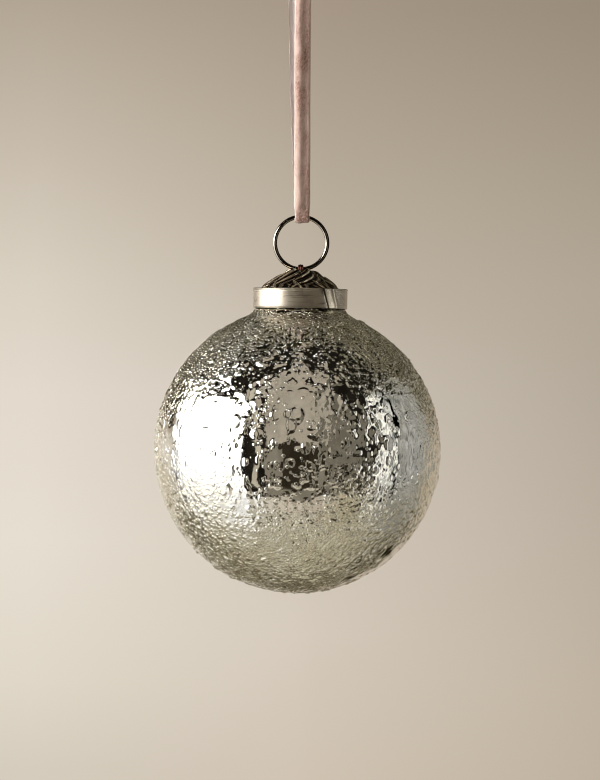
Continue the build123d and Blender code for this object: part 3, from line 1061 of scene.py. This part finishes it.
def strip(name, left, right, low, high, distance):
    """A strip curved over or under the ornament, its sides in metres and its ends in degrees."""
    e = np.linspace(radians(low), radians(high), STRIP_ROWS)
    ys, zs = -distance * np.cos(e), distance * np.sin(e)
    points = np.stack([np.stack([np.full(STRIP_ROWS, x), ys, zs + BALL_Z], 1) for x in (left, right)], 1)
    faces = grid_faces(STRIP_ROWS, 2, close_columns=False)
    return off_camera(new_object(name, points, faces))


def broken_glow(obj, dark, middle, bright, scale):
    """A reflector broken up into dark, middling and bright patches, as a cluttered room would be."""
    material, tree, emission = glow(obj.name)
    tone = noise_value(tree, position(tree), scale, 1.5)
    dark, middle, bright = screen(*dark), screen(*middle), screen(*bright)
    colour = ramp(tree, tone, [(0.45, dark), (0.5, middle), (0.55, middle), (0.60, bright)])
    feed(emission, "Color", colour)
    obj.data.materials.append(material)


# the room behind the camera, between its dark edges: a pale wall that runs up into the ceiling
for name, *edges, tone in (
    ("wall_behind_camera", -0.60, 0.56, 4, 66, 1.4, (180, 170, 154)),
    ("low_wall_behind_camera", -0.60, 0.8, -40, 1, 1.42, (140, 133, 119)),
    ("wall_right_of_camera", 0.62, 1.5, -14, 52, 1.45, (112, 107, 94)),
    ("strip_left_of_camera", -0.95, -0.78, -34, 58, 1.35, (204, 195, 176)),
):
    pale = strip(name, *edges)
    pale.light_linking.receiver_collection = shielded
    plain_glow(pale, screen(*tone), 1.0, 0.25)

# cluttered parts of the room, round the back and under the ornament
for name, *edges, dark_tone, middle_tone, bright_tone, scale in (
    ("behind_above", -2.6, 2.6, 93, 168, 1.9, (14, 12, 8), (62, 56, 40), (182, 175, 152), 7.0),
    ("behind_below", -1.6, 1.6, -156, -114, 1.5, (30, 25, 16), (112, 102, 78), (196, 188, 164), 13.0),
    ("floor_below", -1.4, 1.4, -114, -50, 1.3, (52, 45, 32), (206, 198, 175), (250, 244, 226), 15.0),
):
    broken_glow(strip(name, *edges), dark_tone, middle_tone, bright_tone, scale)

window_frames = card("window_frames_left", -122, 42, 1.7, -0.95, 0.85, -0.50, 0.52)
broken_glow(window_frames, (10, 8, 5), (24, 20, 14), (235, 230, 215), 8.0)
camera_stand = card("camera_stand", 6, -12, 1.2, -0.22, 0.36, -0.42, 0.40)
plain_glow(camera_stand, (0.036, 0.028, 0.018), 1.0, 0.5)
chair = card("chair", 48, -22, 1.2, -0.24, 0.24, -0.26, 0.28)
broken_glow(chair, (18, 15, 10), (40, 34, 26), (150, 142, 124), 11.0)
shaded_wall = card("shaded_wall", 36, 7, 1.3, -0.38, 0.34, -0.46, 0.40)
plain_glow(shaded_wall, screen(122, 116, 103), 1.0, 0.3)
ceiling_lamp = card("ceiling_lamp", 0, 88, 1.3, -0.10, 0.10, -0.06, 0.06)
plain_glow(ceiling_lamp, (1.0, 0.98, 0.94), 3.0)

lamp_data = bpy.data.lights.new("key_light", "AREA")
lamp_data.shape = "RECTANGLE"
lamp_data.size, lamp_data.size_y = 0.7, 1.0
lamp_data.energy = 42.0
lamp_data.color = (1.0, 0.97, 0.93)
lamp = bpy.data.objects.new("key_light", lamp_data)
bpy.context.scene.collection.objects.link(lamp)
away = Vector((-0.93, -0.34, 0.16)).normalized()
lamp.location = BALL_MIDDLE + away * 0.95
lamp.rotation_mode = "QUATERNION"
lamp.rotation_quaternion = away.to_track_quat("Z", "Y")
lamp.visible_camera = False
lamp.visible_glossy = False

world = bpy.data.worlds.new("studio_air")
bpy.context.scene.world = world
world.use_nodes = True
world.node_tree.nodes["Background"].inputs["Color"].default_value = (*screen(178, 166, 148), 1.0)
world.node_tree.nodes["Background"].inputs["Strength"].default_value = 0.35
